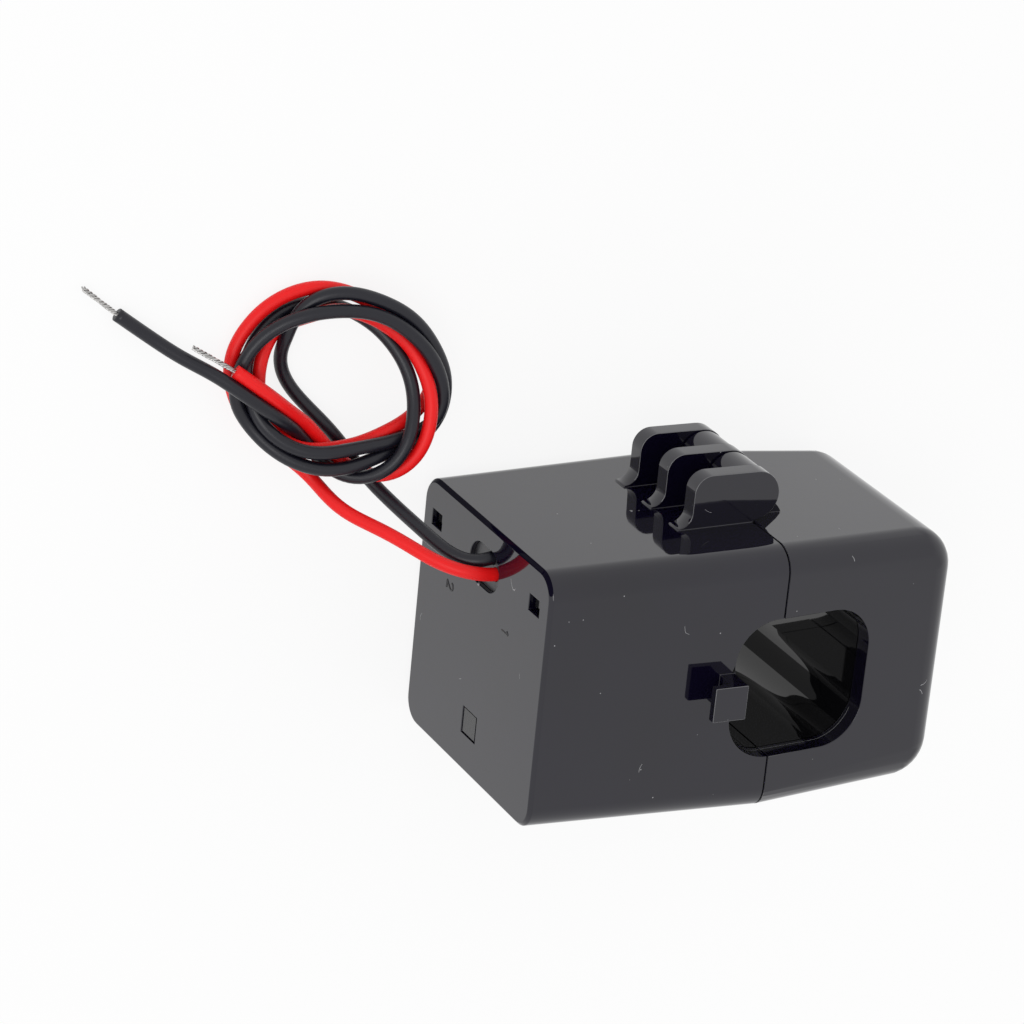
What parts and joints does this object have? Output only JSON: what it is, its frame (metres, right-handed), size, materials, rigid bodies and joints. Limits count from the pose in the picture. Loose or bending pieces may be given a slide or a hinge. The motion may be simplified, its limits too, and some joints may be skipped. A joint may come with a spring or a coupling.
{
  "type": "current transformer",
  "caption": "Split-core current transformer: a tapered box with a rounded square window for one cable, a hinged snap-shut jaw and two coiled leads.",
  "frame": {"origin": "on the window's axis, level with the back edge of the parting plane that the part lies on", "axes": "+X along the length, from the lead outlet to the end of the jaw; +Y to the hinge side; +Z along the window's axis, out of the front face with the hook"},
  "size_m": [0.0869, 0.052, 0.0335],
  "materials": {
    "housing": "gloss",
    "liner": "satin",
    "core": "satin",
    "bobbin": "satin",
    "copper": "gloss",
    "tape": "satin",
    "black_sleeving": "matte",
    "red_sleeving": "matte",
    "bush": "matte",
    "spring": "satin",
    "pin": "satin",
    "black_wire": "satin",
    "red_wire": "satin",
    "coil": "satin",
    "strands": "satin"
  },
  "bodies": {
    "body": {"body_shell": "housing", "body_frame": "liner", "body_core": "core", "bobbin": "bobbin", "winding": "copper", "winding_tape": "tape", "winding_ends": "copper", "black_sleeve": "black_sleeving", "red_sleeve": "red_sleeving", "cable_bush": "bush", "hinge_pin": "pin", "black_lead": "black_wire", "red_lead": "red_wire", "wire_coil": "coil", "black_tail": "black_wire", "black_strands": "strands", "red_strands": "strands"},
    "jaw": {"jaw_shell": "housing", "jaw_frame": "liner", "jaw_core": "core", "jaw_spring": "spring"}
  },
  "joints": [
    {"name": "jaw_hinge", "type": "hinge", "parent": "body", "child": "jaw", "pos_m": [-0.0031, 0.01765, 0.01515], "axis": [0, 0, 1], "range_deg": [0, 100]}
  ]
}
